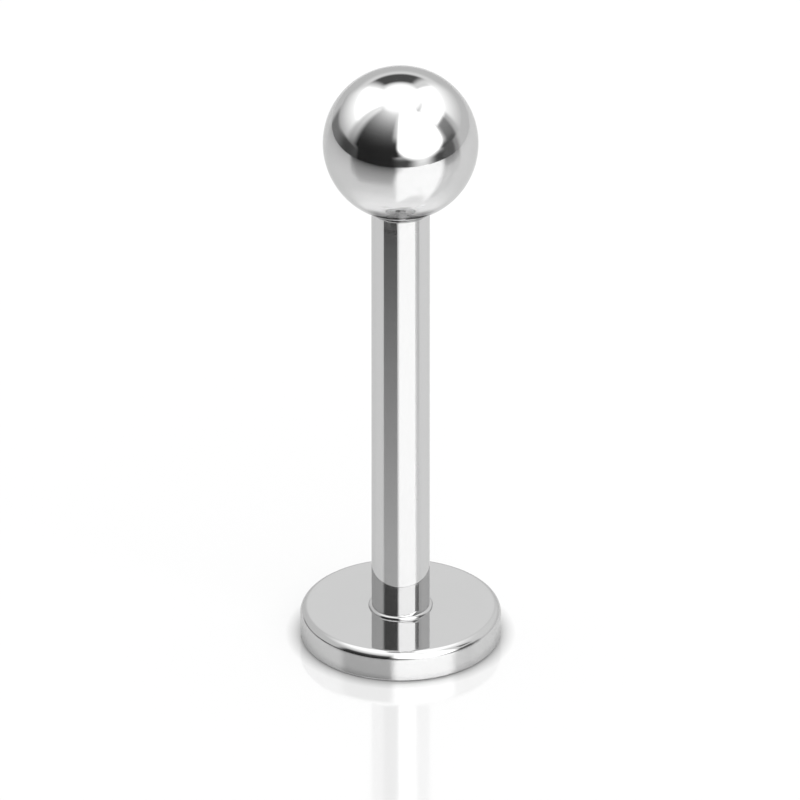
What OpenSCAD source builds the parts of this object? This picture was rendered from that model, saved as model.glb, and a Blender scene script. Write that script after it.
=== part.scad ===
/* [Disc] */
// Diameter of the flat disc
disc_d = 4; // [3:0.1:6]
// Thickness of the disc
disc_h = 0.63; // [0.5:0.01:1.2]
// Radius of the rounding round the top edge of the disc
disc_top_r = 0.17; // [0.05:0.01:0.3]
// Radius of the rounding round the bottom edge of the disc
disc_foot_r = 0.05; // [0.02:0.01:0.15]

/* [Post] */
// Diameter of the post
post_d = 1.16; // [1:0.02:1.6]
// Free length of the post, from the top of the disc to the shoulder under the ball
wear_len = 9; // [5:0.5:14]
// Width of the slope round the shoulder
shoulder_slope_w = 0.06; // [0.02:0.01:0.08]
// Height of the slope round the shoulder
shoulder_slope_h = 0.03; // [0.02:0.01:0.08]

/* [Weld bead] */
// Radius of the round bead in the corner between disc and post
bead_r = 0.06; // [0.04:0.01:0.1]

/* [Threaded tip] */
// Width of the flat seat left on the shoulder round the thread
seat_w = 0.07; // [0.05:0.01:0.12]
// Distance from one crest of the thread to the next
thread_pitch = 0.2; // [0.15:0.01:0.25]
// Depth of the grooves between the crests
thread_depth = 0.11; // [0.05:0.01:0.12]
// Angle between the two flanks of a groove
thread_angle = 60; // [40:5:60]
// Length of the tip above the shoulder
tip_len = 1.8; // [1.2:0.1:2]
// Length of the plain neck between the shoulder and the first crest
neck_len = 0.2; // [0.1:0.05:0.4]
// Width of the chamfer on the end of the tip
tip_chamfer = 0.1; // [0.05:0.01:0.15]

/* [Ball] */
// Diameter of the ball
ball_d = 3.08; // [2.8:0.02:5]
// Gap between the shoulder of the post and the seat of the ball
seat_gap = 0.01; // [0.005:0.005:0.03]
// Clearance all round between the crests of the thread and the bore
bore_clearance = 0.02; // [0.01:0.01:0.03]
// How far the straight bore runs on past the end of the tip
bore_spare = 0.1; // [0.05:0.05:0.2]
// Height of the cone that the drill leaves at the end of the bore
drill_cone_h = 0.28; // [0.1:0.02:0.4]

/* [Hidden] */
$fn = 96;

disc_r = disc_d / 2;
post_r = post_d / 2;
ball_r = ball_d / 2;

// Shoulder: the flat ring on the end of the post that the ball screws down to
shoulder_z = disc_h + wear_len;
shoulder_r = post_r - shoulder_slope_w;

// Thread with sharp crests and flat roots
crest_r = shoulder_r - seat_w;
root_r = crest_r - thread_depth;
flank_len = thread_depth * tan(thread_angle / 2);
thread_z = shoulder_z + neck_len;
tip_z = shoulder_z + tip_len;
thread_count = floor((tip_len - neck_len - tip_chamfer) / thread_pitch);

// The ball is cut flat where its skin is as wide as the shoulder
seat_z = shoulder_z + seat_gap;
ball_z = seat_z + sqrt(ball_r * ball_r - shoulder_r * shoulder_r);
bore_r = crest_r + bore_clearance;
bore_z = tip_z + bore_spare;

// Half section of the disc, with both of its edges rounded
module disc_section() {
    translate([0, disc_foot_r])
        square([disc_r, disc_h - disc_foot_r - disc_top_r]);
    square([disc_r - disc_foot_r, disc_foot_r]);
    translate([disc_r - disc_foot_r, disc_foot_r])
        circle(r = disc_foot_r);
    translate([0, disc_h - disc_top_r])
        square([disc_r - disc_top_r, disc_top_r]);
    translate([disc_r - disc_top_r, disc_h - disc_top_r])
        circle(r = disc_top_r);
}

// Half section of the post, which stands on the disc and ends in the shoulder
module post_section() {
    polygon([
        [0, disc_h],
        [post_r, disc_h],
        [post_r, shoulder_z - shoulder_slope_h],
        [shoulder_r, shoulder_z],
        [0, shoulder_z]
    ]);
}

// Half section of the weld bead, whose middle is in the corner between disc and post
module bead_section() {
    translate([post_r, disc_h])
        circle(r = bead_r);
}

// Half section of the tip, whose grooves stand for the turns of the thread
module tip_section() {
    turns = [
        for (turn = [0 : thread_count - 1])
            let (z = thread_z + turn * thread_pitch)
                each [
                    [root_r, z],
                    [crest_r, z + flank_len],
                    [root_r, z + 2 * flank_len]
                ]
    ];
    polygon(concat(
        [[0, shoulder_z], [root_r, shoulder_z]],
        turns,
        [[root_r, tip_z - tip_chamfer], [root_r - tip_chamfer, tip_z], [0, tip_z]]
    ));
}

// Half section of the ball, cut flat at its seat
module ball_section() {
    intersection() {
        translate([0, ball_z])
            circle(r = ball_r);
        translate([0, seat_z])
            square([ball_r, ball_d]);
    }
}

// Half section of the blind bore that takes the tip
module bore_section() {
    polygon([
        [0, seat_z],
        [bore_r, seat_z],
        [bore_r, bore_z],
        [0, bore_z + drill_cone_h]
    ]);
}

// Disc, post, bead and threaded tip, welded into one piece
module back() {
    color("silver")
        rotate_extrude() {
            disc_section();
            post_section();
            bead_section();
            tip_section();
        }
}

// Ball that screws down onto the shoulder of the post
module ball() {
    color("gainsboro")
        rotate_extrude()
            difference() {
                ball_section();
                bore_section();
            }
}

back();
ball();
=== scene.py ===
import math

import bpy
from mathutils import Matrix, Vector, noise


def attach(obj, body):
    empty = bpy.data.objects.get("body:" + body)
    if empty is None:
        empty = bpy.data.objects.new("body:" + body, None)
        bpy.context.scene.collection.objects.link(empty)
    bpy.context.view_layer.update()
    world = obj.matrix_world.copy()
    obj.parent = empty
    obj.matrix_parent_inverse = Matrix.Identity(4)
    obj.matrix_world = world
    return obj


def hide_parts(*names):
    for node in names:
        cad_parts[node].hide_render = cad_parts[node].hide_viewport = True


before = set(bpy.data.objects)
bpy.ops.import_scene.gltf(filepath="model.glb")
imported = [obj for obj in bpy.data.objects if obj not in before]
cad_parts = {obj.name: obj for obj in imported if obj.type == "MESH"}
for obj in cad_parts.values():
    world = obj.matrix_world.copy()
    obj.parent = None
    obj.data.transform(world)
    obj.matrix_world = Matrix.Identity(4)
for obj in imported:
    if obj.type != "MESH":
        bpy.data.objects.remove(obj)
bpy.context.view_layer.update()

MM = 0.001

# Sizes of the stud, in metres
DISC_R = 2.0 * MM
DISC_H = 0.63 * MM
DISC_TOP_R = 0.17 * MM
DISC_FOOT_R = 0.05 * MM
POST_R = 0.58 * MM
BEAD_R = 0.06 * MM
SHOULDER_Z = DISC_H + 9.0 * MM
SHOULDER_SLOPE_H = 0.03 * MM
SHOULDER_R = POST_R - 0.06 * MM
CREST_R = SHOULDER_R - 0.07 * MM
ROOT_R = CREST_R - 0.11 * MM
THREAD_PITCH = 0.2 * MM
THREAD_Z = SHOULDER_Z + 0.2 * MM
THREAD_TURNS = 7
THREAD_STEEPNESS = 1.5
THREAD_TOP = THREAD_Z + THREAD_TURNS * THREAD_PITCH
TIP_Z = SHOULDER_Z + 1.8 * MM
TIP_CHAMFER = 0.1 * MM
BALL_R = 1.54 * MM
SEAT_Z = SHOULDER_Z + 0.01 * MM
BALL_Z = SEAT_Z + math.sqrt(BALL_R ** 2 - SHOULDER_R ** 2)
BORE_R = CREST_R + 0.02 * MM
BORE_Z = TIP_Z + 0.1 * MM
DRILL_CONE_H = 0.28 * MM

# The weld bead is a little uneven, and at the front right its end climbs over its start.
# Angles are in degrees round the post, from the camera towards the right.
BEAD_WAVE = 0.012 * MM
BEAD_WAVE_LENGTH = 0.3 * MM
LAP_START = -10
LAP_END = 38
LAP_LOW = 0.03 * MM
LAP_CLIMB = 0.075 * MM
LAP_R = 0.028 * MM
LAP_TOP = DISC_H + 0.15 * MM
# The shares of the lap's length over which it rises out of the post and sinks back
LAP_FADE_IN = 0.2
LAP_FADE_OUT = 0.3

# Fineness of the turned shapes: steps all round, over each rounding and in each turn
TURN_STEPS = 192
EDGE_STEPS = 14
BEAD_STEPS = 14
LAP_STEPS = 18
THREAD_STEPS = 12
# A narrow rim round a flat face keeps its shading flat
FLAT_EDGE = 0.008 * MM
# Edges that turn by more than this stay crisp
CRISP_ANGLE = math.radians(30)
# Lengths closer than this, and normals as nearly level as this, count as the same
NEAR = 0.001 * MM
NEARLY_LEVEL = 0.01


def start_clean():
    """Leaves object mode with nothing selected."""
    if bpy.context.mode != "OBJECT":
        bpy.ops.object.mode_set(mode="OBJECT")
    bpy.ops.object.select_all(action="DESELECT")


def settle(piece):
    """Puts the piece's place, turn and size into its mesh."""
    start_clean()
    piece.select_set(True)
    bpy.context.view_layer.objects.active = piece
    bpy.ops.object.transform_apply(location=True, rotation=True, scale=True)


def edit(piece, select_mode):
    """Opens the piece in edit mode with nothing selected."""
    start_clean()
    piece.select_set(True)
    bpy.context.view_layer.objects.active = piece
    bpy.ops.object.mode_set(mode="EDIT")
    bpy.ops.mesh.select_mode(type=select_mode)
    bpy.ops.mesh.select_all(action="DESELECT")


def pick_faces(piece, wanted):
    """Selects the faces for which wanted(centre, normal) is true."""
    bpy.ops.mesh.select_all(action="DESELECT")
    bpy.ops.object.mode_set(mode="OBJECT")
    for face in piece.data.polygons:
        face.select = wanted(face.center, face.normal)
    bpy.ops.object.mode_set(mode="EDIT")


def pick_edges(piece, wanted):
    """Selects the edges for which wanted(end, other_end) is true."""
    bpy.ops.mesh.select_all(action="DESELECT")
    bpy.ops.object.mode_set(mode="OBJECT")
    points = piece.data.vertices
    for edge in piece.data.edges:
        edge.select = wanted(*[points[end].co for end in edge.vertices])
    bpy.ops.object.mode_set(mode="EDIT")


def is_rim(height):
    """A test for edges that lie at one height."""
    return lambda a, b: abs(a.z - height) < NEAR and abs(b.z - height) < NEAR


def is_upright(low, high):
    """A test for edges that run from one height to another."""
    ends = {round(low / NEAR), round(high / NEAR)}
    return lambda a, b: {round(a.z / NEAR), round(b.z / NEAR)} == ends


def is_cap(height):
    """A test for the round end face at one height, whose centre is on the axis."""
    return lambda centre, normal: abs(centre.z - height) < NEAR and centre.xy.length < NEAR


def is_wall(low, high):
    """A test for upright faces whose centre lies between two heights."""
    return lambda centre, normal: low < centre.z < high and abs(normal.z) < NEARLY_LEVEL


class Lathe:
    """Draws the selected round end face out along Z, ring by ring."""

    def __init__(self, radius, height):
        self.radius = radius
        self.height = height

    def to(self, radius, height):
        """Draws the face up to a height and to a radius."""
        rise = height - self.height
        bpy.ops.mesh.extrude_region_move(TRANSFORM_OT_translate={"value": (0, 0, rise)})
        if radius != self.radius:
            size = radius / self.radius
            bpy.ops.transform.resize(value=(size, size, 1), center_override=(0, 0, height))
        self.radius = radius
        self.height = height


def finish_piece(piece, body, node, material):
    """Smooths the piece, gives it its finish and lets it stand for its node."""
    start_clean()
    piece.select_set(True)
    bpy.context.view_layer.objects.active = piece
    bpy.ops.object.mode_set(mode="EDIT")
    bpy.ops.mesh.select_all(action="SELECT")
    bpy.ops.mesh.normals_make_consistent(inside=False)
    bpy.ops.object.mode_set(mode="OBJECT")
    bpy.ops.object.shade_smooth_by_angle(angle=CRISP_ANGLE)
    piece.data.materials.append(material)
    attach(piece, body)
    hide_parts(node)


def make_disc():
    """The flat disc, with its top edge rounded and its lower edge just broken."""
    bpy.ops.mesh.primitive_cylinder_add(
        vertices=TURN_STEPS, radius=DISC_R, depth=DISC_H, location=(0, 0, DISC_H / 2)
    )
    disc = bpy.context.object
    settle(disc)
    edit(disc, "EDGE")
    pick_edges(disc, is_rim(DISC_H))
    bpy.ops.mesh.bevel(offset=DISC_TOP_R, segments=EDGE_STEPS, affect="EDGES")
    pick_edges(disc, is_rim(0))
    bpy.ops.mesh.bevel(offset=DISC_FOOT_R, segments=EDGE_STEPS // 2, affect="EDGES")
    bpy.ops.mesh.select_mode(type="FACE")
    pick_faces(disc, is_wall(DISC_FOOT_R, DISC_H - DISC_TOP_R))
    bpy.ops.mesh.inset(thickness=FLAT_EDGE)
    pick_faces(disc, is_cap(0))
    bpy.ops.mesh.inset(thickness=FLAT_EDGE)
    return disc


def raise_post(disc):
    """The bead, post, shoulder and tip, drawn up out of the disc's top face."""
    edit(disc, "FACE")
    pick_faces(disc, is_cap(DISC_H))
    bpy.ops.mesh.inset(thickness=FLAT_EDGE)
    bpy.ops.mesh.inset(thickness=DISC_R - DISC_TOP_R - FLAT_EDGE - POST_R - BEAD_R)
    lathe = Lathe(POST_R + BEAD_R, DISC_H)
    for step in range(1, BEAD_STEPS + 1):
        turn = math.pi / 2 * step / BEAD_STEPS
        lathe.to(POST_R + BEAD_R * math.cos(turn), DISC_H + BEAD_R * math.sin(turn))
    lap_foot = DISC_H + BEAD_R
    for step in range(1, LAP_STEPS + 1):
        lathe.to(POST_R, lap_foot + (LAP_TOP - lap_foot) * step / LAP_STEPS)
    lathe.to(POST_R, SHOULDER_Z - SHOULDER_SLOPE_H)
    lathe.to(SHOULDER_R, SHOULDER_Z)
    bpy.ops.mesh.inset(thickness=SHOULDER_R - ROOT_R)
    lathe.radius = ROOT_R
    lathe.to(ROOT_R, THREAD_Z)
    lathe.to(ROOT_R, THREAD_TOP)
    lathe.to(ROOT_R, TIP_Z - TIP_CHAMFER)
    lathe.to(ROOT_R - TIP_CHAMFER, TIP_Z)
    bpy.ops.mesh.select_mode(type="EDGE")
    pick_edges(disc, is_upright(THREAD_Z, THREAD_TOP))
    bpy.ops.mesh.subdivide(number_cuts=THREAD_TURNS * THREAD_STEPS - 1)
    bpy.ops.object.mode_set(mode="OBJECT")


def cut_thread(back):
    """Moves the tip's rings out into the turns of a screw thread that fades at both ends."""
    for point in back.data.vertices:
        if not THREAD_Z < point.co.z < THREAD_TOP:
            continue
        turn = math.atan2(point.co.y, point.co.x) / math.tau
        climb = (point.co.z - THREAD_Z) / THREAD_PITCH - turn
        from_crest = abs(climb % 1 - 0.5) * 2
        from_ends = min(point.co.z - THREAD_Z, THREAD_TOP - point.co.z)
        fade = min(1, from_ends / THREAD_PITCH)
        flank = max(0, 1 - from_crest * THREAD_STEEPNESS)
        size = 1 + (CREST_R / ROOT_R - 1) * flank * fade
        point.co.x *= size
        point.co.y *= size


def roughen_bead(back):
    """Makes the weld bead a little uneven and lays its end over its start."""
    for point in back.data.vertices:
        radius = point.co.xy.length
        if not DISC_H - NEAR < point.co.z < LAP_TOP - NEAR or radius > POST_R + BEAD_R + NEAR:
            continue
        proud = (radius - POST_R) / BEAD_R
        wanted = radius + BEAD_WAVE * noise.noise(point.co / BEAD_WAVE_LENGTH) * proud
        around = math.degrees(math.atan2(point.co.x, -point.co.y))
        along = (around - LAP_START) / (LAP_END - LAP_START)
        if 0 < along < 1:
            middle = DISC_H + LAP_LOW + LAP_CLIMB * along
            aside = (point.co.z - middle) / LAP_R
            fade = min(1, along / LAP_FADE_IN, (1 - along) / LAP_FADE_OUT)
            if abs(aside) < 1:
                wanted = max(wanted, POST_R + LAP_R * fade * math.sqrt(1 - aside ** 2))
        point.co.x *= wanted / radius
        point.co.y *= wanted / radius


def make_back(material):
    """The disc, bead, post and threaded tip, in one piece."""
    disc = make_disc()
    raise_post(disc)
    cut_thread(disc)
    roughen_bead(disc)
    disc.name = "disc_and_post"
    finish_piece(disc, "back", "back", material)


def make_ball(material):
    """The ball, cut flat at its seat and bored for the tip."""
    bpy.ops.mesh.primitive_uv_sphere_add(
        segments=TURN_STEPS, ring_count=TURN_STEPS // 2, radius=BALL_R, location=(0, 0, BALL_Z)
    )
    ball = bpy.context.object
    settle(ball)
    edit(ball, "FACE")
    bpy.ops.mesh.select_all(action="SELECT")
    bpy.ops.mesh.bisect(
        plane_co=(0, 0, SEAT_Z),
        plane_no=(0, 0, 1),
        use_fill=True,
        clear_inner=True,
        threshold=NEAR / 10,
    )
    pick_faces(ball, is_cap(SEAT_Z))
    bpy.ops.mesh.inset(thickness=SHOULDER_R - BORE_R)
    lathe = Lathe(BORE_R, SEAT_Z)
    lathe.to(BORE_R, BORE_Z)
    lathe.to(BORE_R, BORE_Z + DRILL_CONE_H)
    bpy.ops.mesh.merge(type="CENTER")
    bpy.ops.object.mode_set(mode="OBJECT")
    ball.name = "screw_ball"
    finish_piece(ball, "ball", "ball", material)


def add_node(tree, kind, **settings):
    """A new node of one kind, with its settings."""
    node = tree.nodes.new(kind)
    for name, value in settings.items():
        setattr(node, name, value)
    return node


def value_node(tree, operation, first, second=None):
    """A Math node whose inputs are numbers or sockets."""
    node = add_node(tree, "ShaderNodeMath", operation=operation)
    for index, value in enumerate((first, second)):
        if value is None:
            continue
        if isinstance(value, (int, float)):
            node.inputs[index].default_value = value
        else:
            tree.links.new(value, node.inputs[index])
    return node.outputs[0]


def ramp(tree, value, start, end, low=0, high=1, kind="SMOOTHSTEP"):
    """Rises from low to high while value goes from start to end."""
    node = add_node(tree, "ShaderNodeMapRange", interpolation_type=kind)
    tree.links.new(value, node.inputs["Value"])
    for name, number in (("From Min", start), ("From Max", end), ("To Min", low), ("To Max", high)):
        node.inputs[name].default_value = number
    return node.outputs["Result"]


def noise_pattern(tree, place, stretch, detail):
    """A noise over the piece's own coordinates; stretch is how often it repeats per metre."""
    mapping = add_node(tree, "ShaderNodeMapping")
    mapping.inputs["Scale"].default_value = stretch
    tree.links.new(place, mapping.inputs["Vector"])
    pattern = add_node(tree, "ShaderNodeTexNoise")
    pattern.inputs["Scale"].default_value = 1
    pattern.inputs["Detail"].default_value = detail
    tree.links.new(mapping.outputs["Vector"], pattern.inputs["Vector"])
    return pattern.outputs["Fac"]


def grey(level):
    """A grey of one level, as a colour socket takes it."""
    return (level, level, level, 1)


# The share of the light that the steel mirrors, and how far it strays either way
STEEL = 0.6
STEEL_STRAY = 0.02
# How metallic the polish is; the little that is left is a faint haze
POLISH_CLEAN = 0.97
# Steel mirrors a little less near its outline than a plain mirror does
EDGE_TINT = 0.82
# Polishing lines run round the post: they repeat far more often along it than across it
LINES_PER_METRE = (900, 900, 20000)
LINES_DETAIL = 4
HAZE_PER_METRE = (900, 900, 900)
HAZE_DETAIL = 3
# The lines' pattern runs from the first value to the second while the gloss gets duller
LINES_FROM = 0.3
LINES_TO = 0.7
ROUGH_LEAST = 0.03
ROUGH_MOST = 0.07
RELIEF_STRENGTH = 0.02
RELIEF_DEPTH = 0.002 * MM


def polished_steel(name):
    """Mirror polished surgical steel, with the faint lines that polishing leaves."""
    material = bpy.data.materials.new(name)
    material.use_nodes = True
    tree = material.node_tree
    shader = tree.nodes["Principled BSDF"]
    shader.inputs["Metallic"].default_value = POLISH_CLEAN
    shader.inputs["Specular Tint"].default_value = grey(EDGE_TINT)
    place = add_node(tree, "ShaderNodeTexCoord").outputs["Object"]
    lines = noise_pattern(tree, place, LINES_PER_METRE, LINES_DETAIL)
    haze = noise_pattern(tree, place, HAZE_PER_METRE, HAZE_DETAIL)

    colour = add_node(tree, "ShaderNodeMix", data_type="RGBA")
    colour.inputs["A"].default_value = grey(STEEL * (1 - STEEL_STRAY))
    colour.inputs["B"].default_value = grey(STEEL * (1 + STEEL_STRAY))
    tree.links.new(haze, colour.inputs["Factor"])
    tree.links.new(colour.outputs["Result"], shader.inputs["Base Color"])

    roughness = ramp(tree, lines, LINES_FROM, LINES_TO, ROUGH_LEAST, ROUGH_MOST)
    tree.links.new(roughness, shader.inputs["Roughness"])

    relief = add_node(tree, "ShaderNodeBump")
    relief.inputs["Strength"].default_value = RELIEF_STRENGTH
    relief.inputs["Distance"].default_value = RELIEF_DEPTH
    tree.links.new(lines, relief.inputs["Height"])
    tree.links.new(relief.outputs["Normal"], shader.inputs["Normal"])
    return material


# The studio round the stud. A near tent holds what the ball mirrors of the upper studio,
# and the far room holds the horizon and what the floor, disc and post mirror. Both are
# painted from soft-edged panels. Azimuth is in degrees from the camera towards the right,
# elevation in degrees above the floor, and soft is how wide the edges fade. Each panel
# covers those before it, with one brightness at its lower edge and one at its upper edge;
# curve bends the change from one to the other.
#     name, azimuth from, to, soft, elevation from, to, soft, low, high, curve
TENT_LIGHT = 0.8
TENT_PANELS = (
    ("pale back wall", 140, 220, 14, 20, 62, 10, 1.08, 1.08, 1),
    ("glow under right softbox", 92, 150, 14, -20, 36, 4, 0.86, 1.75, 1.2),
    ("right softbox", 71, 147, 8, 35, 68, 8, 2.2, 2.2, 1),
    ("glow under left softbox", -145, -86, 12, -20, 36, 4, 0.66, 1.9, 1),
    ("left softbox", -145, -86, 12, 32, 68, 8, 2.2, 2.2, 1),
    ("shade beside dark wall", -87, -60, 16, -20, 66, 8, 0.28, 1.5, 0.8),
    ("dark wall", -73, 0, 13, -20, 74, 8, 0, 1.5, 2.7),
    ("grey wall right", 77, 104, 10, -20, 33, 6, 0.7, 0.7, 1),
    ("shadow on grey wall", 74, 95, 8, 7, 34, 6, 0.17, 0.36, 1),
    ("dark stand right", 58, 89, 7, -20, 13, 8, 0.1, 0.1, 1),
    ("spill of front softbox", -13, 0, 8, 32, 72, 14, 0.7, 1.3, 1),
    ("front softbox", -5, 69, 8, 0.8, 74, 10, 2.5, 2.5, 1),
    ("seam over right softbox", 62, 102, 12, 63, 68, 6, 0.95, 0.95, 1),
    ("dark flag behind", 161, 206, 11, 29, 51, 7, 0.08, 0.08, 1),
)
ROOM_LIGHT = 0.79
ROOM_PANELS = (
    ("pale wall right", 90, 158, 16, 10, 62, 10, 0.95, 0.95, 1),
    ("light from above", -400, 400, 1, 54, 100, 24, 1.5, 1.5, 1),
    ("pale horizon behind", 128, 232, 20, -90, 12, 10, 0.8, 0.8, 1),
    ("light on back wall", 164, 196, 22, 14, 46, 10, 1.03, 1.03, 1),
    ("dusk left", -136, -70, 12, -90, 5, 8, 0.25, 0.25, 1),
    ("dark horizon left", -102, -66, 28, -90, 7, 8, 0.06, 0.06, 1),
    ("dark horizon front", -20, 92, 8, -90, 5, 9, 0.07, 0.07, 1),
    ("light on far floor", 19, 45, 22, -90, 0, 6, 1.15, 1.15, 1),
    ("dark wall", -71, -7, 16, -90, 38, 10, 0, 0.1, 1),
    ("grey wall right", 84, 96, 12, -90, 16, 8, 0.38, 0.38, 1),
    ("stand in the floor", 60, 80, 8, 16, 60, 8, 0.95, 0.95, 1),
    ("dark stand right", 66, 86, 8, -90, 18, 6, 0.12, 0.12, 1),
    ("front softbox", -8, 64, 12, 0.8, 57, 12, 2.4, 2.4, 1),
)
# Where a panel's brightness changes with height, the change starts at this elevation
CHANGE_FROM = 8
# The front softbox hangs lowest at this azimuth, and its lower edge curves up from there
SOFTBOX_LOWEST = 33
SOFTBOX_CURVE = 0.0115
# The overhead panel is a round one that leans back from the camera
OVERHEAD_LEAN = 9
OVERHEAD_SIZE = 26
OVERHEAD_SOFT = 7
OVERHEAD_LIGHT = 1.75


def blend_light(tree, cover, over, under, label):
    """Lays one brightness over another, as far as it covers."""
    blend = add_node(tree, "ShaderNodeMix", data_type="FLOAT", label=label)
    tree.links.new(cover, blend.inputs["Factor"])
    for name, value in (("A", under), ("B", over)):
        if isinstance(value, (int, float)):
            blend.inputs[name].default_value = value
        else:
            tree.links.new(value, blend.inputs[name])
    return blend.outputs["Result"]


def panel(tree, across, up, sizes, under):
    """Paints one soft-edged panel over what is under it."""
    name, left, right, side_soft, low, high, height_soft, bright_low, bright_high, curve = sizes
    cover = ramp(tree, across, left - side_soft / 2, left + side_soft / 2)
    for value, middle, soft, rising in (
        (across, right, side_soft, False),
        (up, low, height_soft, True),
        (up, high, height_soft, False),
    ):
        start, end = (0, 1) if rising else (1, 0)
        edge = ramp(tree, value, middle - soft / 2, middle + soft / 2, start, end)
        cover = value_node(tree, "MULTIPLY", cover, edge)
    bright = bright_low
    if bright_low != bright_high:
        share = ramp(tree, up, max(low, CHANGE_FROM), high, kind="LINEAR")
        share = value_node(tree, "POWER", share, curve)
        bright = ramp(tree, share, 0, 1, bright_low, bright_high, kind="LINEAR")
    return blend_light(tree, cover, bright, under, name)


def paint_studio(tree, direction, panels, base):
    """The brightness that the panels give in one direction from the stud."""
    split = add_node(tree, "ShaderNodeSeparateXYZ")
    tree.links.new(direction, split.inputs[0])
    x, y, z = split.outputs
    towards_camera = value_node(tree, "MULTIPLY", y, -1)
    azimuth = value_node(tree, "ARCTAN2", x, towards_camera)
    azimuth = value_node(tree, "MULTIPLY", azimuth, math.degrees(1))
    elevation = value_node(tree, "ARCSINE", z)
    elevation = value_node(tree, "MULTIPLY", elevation, math.degrees(1))

    # Behind the stud the azimuth runs on past 180, for panels that cross it
    turned_on = value_node(tree, "ADD", azimuth, 360)
    is_left = value_node(tree, "LESS_THAN", azimuth, 0)
    round_back = blend_light(tree, is_left, turned_on, azimuth, "azimuth behind")

    from_lowest = value_node(tree, "SUBTRACT", azimuth, SOFTBOX_LOWEST)
    sag = value_node(tree, "POWER", from_lowest, 2)
    sag = value_node(tree, "MULTIPLY", sag, SOFTBOX_CURVE)
    over_sag = value_node(tree, "SUBTRACT", elevation, sag)

    bright = base
    for sizes in panels:
        name, _, right = sizes[:3]
        across = round_back if 180 < right < 360 else azimuth
        up = over_sag if name == "front softbox" else elevation
        bright = panel(tree, across, up, sizes, bright)

    lean = math.radians(OVERHEAD_LEAN)
    leaning = value_node(tree, "MULTIPLY", y, math.sin(lean))
    upward = value_node(tree, "MULTIPLY", z, math.cos(lean))
    from_overhead = value_node(tree, "ARCCOSINE", value_node(tree, "ADD", leaning, upward))
    from_overhead = value_node(tree, "MULTIPLY", from_overhead, math.degrees(1))
    edge_in = OVERHEAD_SIZE - OVERHEAD_SOFT / 2
    edge_out = OVERHEAD_SIZE + OVERHEAD_SOFT / 2
    cover = ramp(tree, from_overhead, edge_in, edge_out, 1, 0)
    return blend_light(tree, cover, OVERHEAD_LIGHT, bright, "overhead panel")


def mix_into(tree, output, share, first, second):
    """Gives the output the first shader, and the second where share is one."""
    choice = add_node(tree, "ShaderNodeMixShader")
    tree.links.new(share, choice.inputs[0])
    tree.links.new(first.outputs[0], choice.inputs[1])
    tree.links.new(second.outputs[0], choice.inputs[2])
    tree.links.new(choice.outputs[0], output.inputs["Surface"])


def facing(tree):
    """Nought where a surface is seen face on, and one where it is seen edge on."""
    slant = add_node(tree, "ShaderNodeLayerWeight")
    slant.inputs["Blend"].default_value = 0.5
    return slant.outputs["Facing"]


def distance_from_origin(tree):
    """How far a point is from the origin of the frame."""
    place = add_node(tree, "ShaderNodeTexCoord")
    length = add_node(tree, "ShaderNodeVectorMath", operation="LENGTH")
    tree.links.new(place.outputs["Object"], length.inputs[0])
    return length.outputs["Value"]


def make_room():
    """The far light round the stud, and the plain pale wall that the camera sees."""
    world = bpy.data.worlds.new("room")
    bpy.context.scene.world = world
    world.use_nodes = True
    tree = world.node_tree
    tree.nodes.clear()
    direction = add_node(tree, "ShaderNodeTexCoord").outputs["Generated"]
    bright = paint_studio(tree, direction, ROOM_PANELS, ROOM_LIGHT)
    light = add_node(tree, "ShaderNodeBackground")
    light.inputs["Color"].default_value = grey(1)
    tree.links.new(bright, light.inputs["Strength"])
    wall = add_node(tree, "ShaderNodeBackground")
    wall.inputs["Color"].default_value = grey(1)
    path = add_node(tree, "ShaderNodeLightPath")
    output = add_node(tree, "ShaderNodeOutputWorld")
    mix_into(tree, output, path.outputs["Is Camera Ray"], light, wall)


def show_in_metal_only(prop):
    """Keeps a studio piece out of every ray but those that gloss and metal mirror."""
    prop.visible_camera = False
    prop.visible_diffuse = False
    prop.visible_transmission = False
    prop.visible_volume_scatter = False
    prop.visible_shadow = False


def studio_material(name):
    """An empty material for a studio piece that isn't sampled as a lamp."""
    material = bpy.data.materials.new(name)
    material.use_nodes = True
    material.cycles.emission_sampling = "NONE"
    material.node_tree.nodes.clear()
    return material


TENT_R = 30 * MM
TENT_LOW_Z = 15 * MM
TENT_STEPS = 96
# The tent's light shows only nearly face on, which is how the ball sees it
TENT_FACE_ON = 0.003
TENT_ASLANT = 0.006


def make_tent():
    """The upper studio, as a dome close round the ball."""
    bpy.ops.mesh.primitive_uv_sphere_add(
        segments=TENT_STEPS, ring_count=TENT_STEPS // 2, radius=TENT_R, location=(0, 0, BALL_Z)
    )
    tent = bpy.context.object
    tent.name = "studio_tent"
    settle(tent)
    edit(tent, "FACE")
    bpy.ops.mesh.select_all(action="SELECT")
    bpy.ops.mesh.bisect(
        plane_co=(0, 0, TENT_LOW_Z), plane_no=(0, 0, 1), clear_inner=True, threshold=NEAR
    )
    bpy.ops.object.mode_set(mode="OBJECT")
    material = studio_material("tent light")
    tree = material.node_tree
    place = add_node(tree, "ShaderNodeTexCoord").outputs["Object"]
    from_ball = add_node(tree, "ShaderNodeVectorMath", operation="SUBTRACT")
    tree.links.new(place, from_ball.inputs[0])
    from_ball.inputs[1].default_value = (0, 0, BALL_Z)
    direction = add_node(tree, "ShaderNodeVectorMath", operation="NORMALIZE")
    tree.links.new(from_ball.outputs[0], direction.inputs[0])
    bright = paint_studio(tree, direction.outputs[0], TENT_PANELS, TENT_LIGHT)
    light = add_node(tree, "ShaderNodeEmission")
    tree.links.new(bright, light.inputs["Strength"])
    hidden = ramp(tree, facing(tree), TENT_FACE_ON, TENT_ASLANT)
    clear = add_node(tree, "ShaderNodeBsdfTransparent")
    output = add_node(tree, "ShaderNodeOutputMaterial")
    mix_into(tree, output, hidden, light, clear)
    tent.data.materials.append(material)
    show_in_metal_only(tent)


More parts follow.
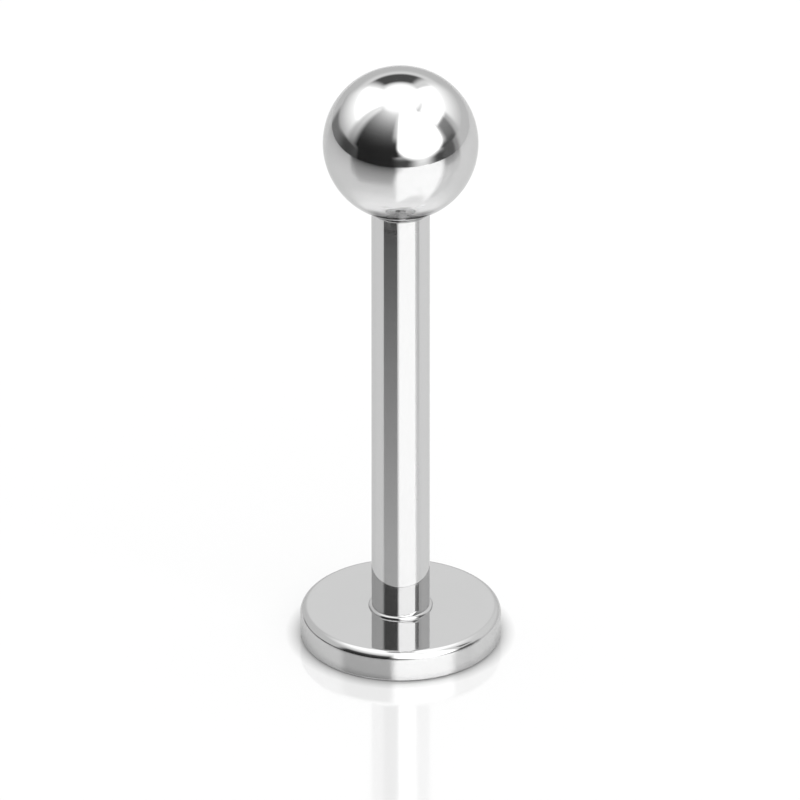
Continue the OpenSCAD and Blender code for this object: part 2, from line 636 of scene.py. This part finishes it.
FLOOR_R = 80 * MM
FLOOR_PAINT = 0.82
FLOOR_IOR = 4.5
FLOOR_ROUGHNESS = 0.08
# To the camera the floor's own glow veils most of what it mirrors
FLOOR_VEIL = 0.6
FLOOR_GLOW = 0.985
# A painted contact shadow: the floor's colour and glow darken between these two radii, as less
# light gets in under the disc's edge
CONTACT_IN = DISC_R - 0.05 * MM
CONTACT_OUT = DISC_R + 0.3 * MM
CONTACT_CURVE = 0.42


def make_floor():
    """A round table of glossy white acrylic, lit from below for the picture."""
    bpy.ops.mesh.primitive_circle_add(
        vertices=TURN_STEPS, radius=FLOOR_R, fill_type="NGON", location=(0, 0, 0)
    )
    floor = bpy.context.object
    floor.name = "floor"
    material = bpy.data.materials.new("white acrylic")
    material.use_nodes = True
    tree = material.node_tree
    shader = tree.nodes["Principled BSDF"]
    # Painted contact shadow: the floor's paint and glow are darkened towards the disc's edge
    light = ramp(tree, distance_from_origin(tree), CONTACT_IN, CONTACT_OUT, kind="LINEAR")
    light = value_node(tree, "POWER", light, CONTACT_CURVE)
    paint = add_node(tree, "ShaderNodeMix", data_type="RGBA")
    paint.inputs["A"].default_value = grey(0)
    paint.inputs["B"].default_value = grey(FLOOR_PAINT)
    tree.links.new(light, paint.inputs["Factor"])
    tree.links.new(paint.outputs["Result"], shader.inputs["Base Color"])
    shader.inputs["Roughness"].default_value = FLOOR_ROUGHNESS
    shader.inputs["IOR"].default_value = FLOOR_IOR
    glow = add_node(tree, "ShaderNodeEmission")
    tree.links.new(value_node(tree, "MULTIPLY", light, FLOOR_GLOW), glow.inputs["Strength"])
    path = add_node(tree, "ShaderNodeLightPath")
    veil = value_node(tree, "MULTIPLY", path.outputs["Is Camera Ray"], FLOOR_VEIL)
    mix_into(tree, tree.nodes["Material Output"], veil, shader, glow)
    floor.data.materials.append(material)


# Dark louvred cards lie on the floor in front of the stud. They show only in what the
# post mirrors, at the slant of their louvres, and give the post its dark stripes.
CAMERA_ELEVATION = 28.96
CARD_LIFT = 0.05 * MM
CARD_NEAR_Z = 1.36 * MM
CARD_FAR_Z = SHOULDER_Z + 0.4 * MM
CARD_COLUMNS = 8
# The slants between which the louvres close. Nought is face on and one is edge on.
CARD_SLANT = (0.475, 0.505)
CARD_STRIPES = (
    # name, left and right edge across the post in mm, darkness low and high on the post
    ("dark_card_left", -0.332, -0.068, 0.1, 0.9),
    ("dark_card_right", 0.284, 0.37, 0.0, 0.33),
)
# A small tilted card gives the foot of the post, and its image in the disc, a narrow dark
# stripe. It stands square to the light that the foot mirrors there, and shows only so.
# Its edges are given across the post in mm, its heights where that light leaves the post:
# below the top of the disc stands for light that the disc mirrors first.
FOOT_CARD_ACROSS = (0.287, 0.365)
FOOT_CARD_HEIGHTS = (-0.1 * MM, 1.4 * MM)
FOOT_CARD_DISTANCE = 2.7 * MM
FOOT_CARD_DARK = 0.72
FOOT_CARD_SLANT = (0.08, 0.05)
# A flat shade on the floor, painted like the studio but with darkness for brightness and
# millimetres from the post's axis for elevation. It darkens at every slant.
SHADE_NEAR = 18
SHADE_FAR = 80
SHADE_SLANT = (-0.2, -0.1)
FLOOR_SHADES = (
    ("shade far left", -136, -76, 14, SHADE_NEAR, SHADE_FAR, 4, 0, 0.36, 0.8),
    ("shade front left", -76, -6, 9, SHADE_NEAR, SHADE_FAR, 4, 0, 0.9, 0.6),
    ("shade right", 66, 95, 8, SHADE_NEAR, SHADE_FAR, 4, 0, 0.45, 0.8),
)
# Two flat rings round the top of the post, a close one and a higher, wider one, shade the
# joint in the ball's underside. They darken only when they are seen steeply from above.
COLLAR_Z = SHOULDER_Z - 0.3 * MM
COLLAR_IN = 0.585
COLLAR_OUT = 0.72
STEEP_SLANT = (0.42, 0.3)
COLLAR_SHADES = (
    ("shade close to post", -75, 75, 30, 0, 1, 0.1, 0.75, 0.75, 1),
    ("streak in the shade", -2, 12, 10, 0, 2, 0.1, 0.3, 0.3, 1),
)
WASHER_Z = SHOULDER_Z - 0.1 * MM
WASHER_IN = 0.7
WASHER_OUT = 1.5
WASHER_SHADES = (
    ("shade round joint", -50, 50, 34, 0, 1.1, 0.3, 0.65, 0.65, 1),
    ("shade in front of joint", -20, 20, 20, 0.9, 1.3, 0.3, 0.45, 0.45, 1),
    ("streak in the shade", -2, 12, 10, 0, 2, 0.1, 0.25, 0.25, 1),
)


def seen_at(tree, slant_from, slant_to):
    """Rises to one, for a card seen from its front, as the slant goes between two values."""
    louvre = ramp(tree, facing(tree), slant_from, slant_to)
    behind = add_node(tree, "ShaderNodeNewGeometry").outputs["Backfacing"]
    in_front = value_node(tree, "SUBTRACT", 1, behind)
    return value_node(tree, "MULTIPLY", louvre, in_front)


def finish_card(card, tree, cover):
    """Makes a card black where it covers, clear elsewhere, and a piece of the studio."""
    clear = add_node(tree, "ShaderNodeBsdfTransparent")
    black = add_node(tree, "ShaderNodeEmission")
    black.inputs["Strength"].default_value = 0
    output = add_node(tree, "ShaderNodeOutputMaterial")
    mix_into(tree, output, cover, clear, black)
    show_in_metal_only(card)


def card_point(across, height):
    """The point of the floor that the post mirrors from one point of its front."""
    lean = math.asin(across / POST_R)
    run = (height - CARD_LIFT) / math.tan(math.radians(CAMERA_ELEVATION))
    return (
        POST_R * math.sin(lean) + run * math.sin(2 * lean),
        -POST_R * math.cos(lean) - run * math.cos(2 * lean),
        CARD_LIFT,
    )


def make_cards():
    """The cards that give the post its dark stripes."""
    for name, left, right, dark_near, dark_far in CARD_STRIPES:
        points = []
        faces = []
        for column in range(CARD_COLUMNS + 1):
            across = (left + (right - left) * column / CARD_COLUMNS) * MM
            points.append(card_point(across, CARD_NEAR_Z))
            points.append(card_point(across, CARD_FAR_Z))
            if column:
                last = 2 * column
                faces.append((last - 2, last - 1, last + 1, last))
        mesh = bpy.data.meshes.new(name)
        mesh.from_pydata(points, [], faces)
        card = bpy.data.objects.new(name, mesh)
        bpy.context.scene.collection.objects.link(card)
        material = studio_material(name)
        card.data.materials.append(material)
        tree = material.node_tree
        near = math.hypot(*card_point(0, CARD_NEAR_Z)[:2])
        far = math.hypot(*card_point(0, CARD_FAR_Z)[:2])
        distance = distance_from_origin(tree)
        fade = ramp(tree, distance, near, far, dark_near, dark_far, kind="LINEAR")
        cover = value_node(tree, "MULTIPLY", fade, seen_at(tree, *CARD_SLANT))
        finish_card(card, tree, cover)


def foot_ray(across, height):
    """Where light leaves the post from one point of its foot, and which way it goes."""
    lean = math.asin(across * MM / POST_R)
    climb = math.radians(CAMERA_ELEVATION)
    start = Vector((POST_R * math.sin(lean), -POST_R * math.cos(lean), height))
    level = math.cos(climb)
    way = Vector((level * math.sin(2 * lean), -level * math.cos(2 * lean), math.sin(climb)))
    return start, way


def make_foot_card():
    """The small card in front of the disc's right side."""
    start, square = foot_ray(sum(FOOT_CARD_ACROSS) / 2, sum(FOOT_CARD_HEIGHTS) / 2)
    middle = start + square * FOOT_CARD_DISTANCE / math.cos(math.radians(CAMERA_ELEVATION))
    corners = []
    left, right = FOOT_CARD_ACROSS
    low, high = FOOT_CARD_HEIGHTS
    for across, height in ((left, low), (left, high), (right, high), (right, low)):
        start, way = foot_ray(across, height)
        corners.append(start + way * (middle - start).dot(square) / way.dot(square))
    mesh = bpy.data.meshes.new("foot_card")
    mesh.from_pydata(corners, [], [(0, 1, 2, 3)])
    card = bpy.data.objects.new("foot_card", mesh)
    bpy.context.scene.collection.objects.link(card)
    material = studio_material("foot_card")
    card.data.materials.append(material)
    tree = material.node_tree
    cover = value_node(tree, "MULTIPLY", FOOT_CARD_DARK, seen_at(tree, *FOOT_CARD_SLANT))
    finish_card(card, tree, cover)


def make_shade(name, near, far, height, shades, slant):
    """A flat ring that darkens what metal mirrors of the floor under it."""
    bpy.ops.mesh.primitive_circle_add(
        vertices=TURN_STEPS, radius=far * MM, fill_type="NGON", location=(0, 0, height)
    )
    ring = bpy.context.object
    ring.name = name
    settle(ring)
    edit(ring, "FACE")
    bpy.ops.mesh.select_all(action="SELECT")
    bpy.ops.mesh.inset(thickness=(far - near) * MM)
    bpy.ops.mesh.delete(type="FACE")
    bpy.ops.object.mode_set(mode="OBJECT")
    material = studio_material(name)
    ring.data.materials.append(material)
    tree = material.node_tree
    place = add_node(tree, "ShaderNodeTexCoord")
    split = add_node(tree, "ShaderNodeSeparateXYZ")
    tree.links.new(place.outputs["Object"], split.inputs[0])
    x, y = split.outputs[:2]
    azimuth = value_node(tree, "ARCTAN2", x, value_node(tree, "MULTIPLY", y, -1))
    azimuth = value_node(tree, "MULTIPLY", azimuth, math.degrees(1))
    squares = [value_node(tree, "MULTIPLY", side, side) for side in (x, y)]
    distance = value_node(tree, "SQRT", value_node(tree, "ADD", *squares))
    distance = value_node(tree, "DIVIDE", distance, MM)
    dark = 0
    for sizes in shades:
        dark = panel(tree, azimuth, distance, sizes, dark)
    cover = value_node(tree, "MULTIPLY", dark, seen_at(tree, *slant))
    finish_card(ring, tree, cover)


# The camera looks down on the stud from the front through a very long lens
CAMERA_LENS = 1500
SENSOR = 36
VIEW_WIDTH = 15.867 * MM
AIM = Vector((-0.012, 0, 5.292)) * MM
# The camera sees what lies between its distance divided by this and multiplied by this
CLIP_RANGE = 10


def make_camera():
    """The camera at the photograph's angle."""
    elevation = math.radians(CAMERA_ELEVATION)
    distance = VIEW_WIDTH * CAMERA_LENS / SENSOR
    back = Vector((0, -math.cos(elevation), math.sin(elevation)))
    bpy.ops.object.camera_add(location=AIM + back * distance)
    camera = bpy.context.object
    camera.rotation_euler = (math.pi / 2 - elevation, 0, 0)
    camera.data.lens = CAMERA_LENS
    camera.data.sensor_width = SENSOR
    camera.data.clip_start = distance / CLIP_RANGE
    camera.data.clip_end = distance * CLIP_RANGE
    camera.data.dof.use_dof = False
    bpy.context.scene.camera = camera


start_clean()
make_back(polished_steel("polished steel back"))
make_ball(polished_steel("polished steel ball"))
make_floor()
make_cards()
make_foot_card()
make_shade("shade_on_floor", SHADE_NEAR, SHADE_FAR, CARD_LIFT, FLOOR_SHADES, SHADE_SLANT)
make_shade("shade_close_to_post", COLLAR_IN, COLLAR_OUT, COLLAR_Z, COLLAR_SHADES, STEEP_SLANT)
make_shade("shade_round_joint", WASHER_IN, WASHER_OUT, WASHER_Z, WASHER_SHADES, STEEP_SLANT)
make_tent()
make_room()
make_camera()
bpy.context.scene.view_settings.view_transform = "Standard"
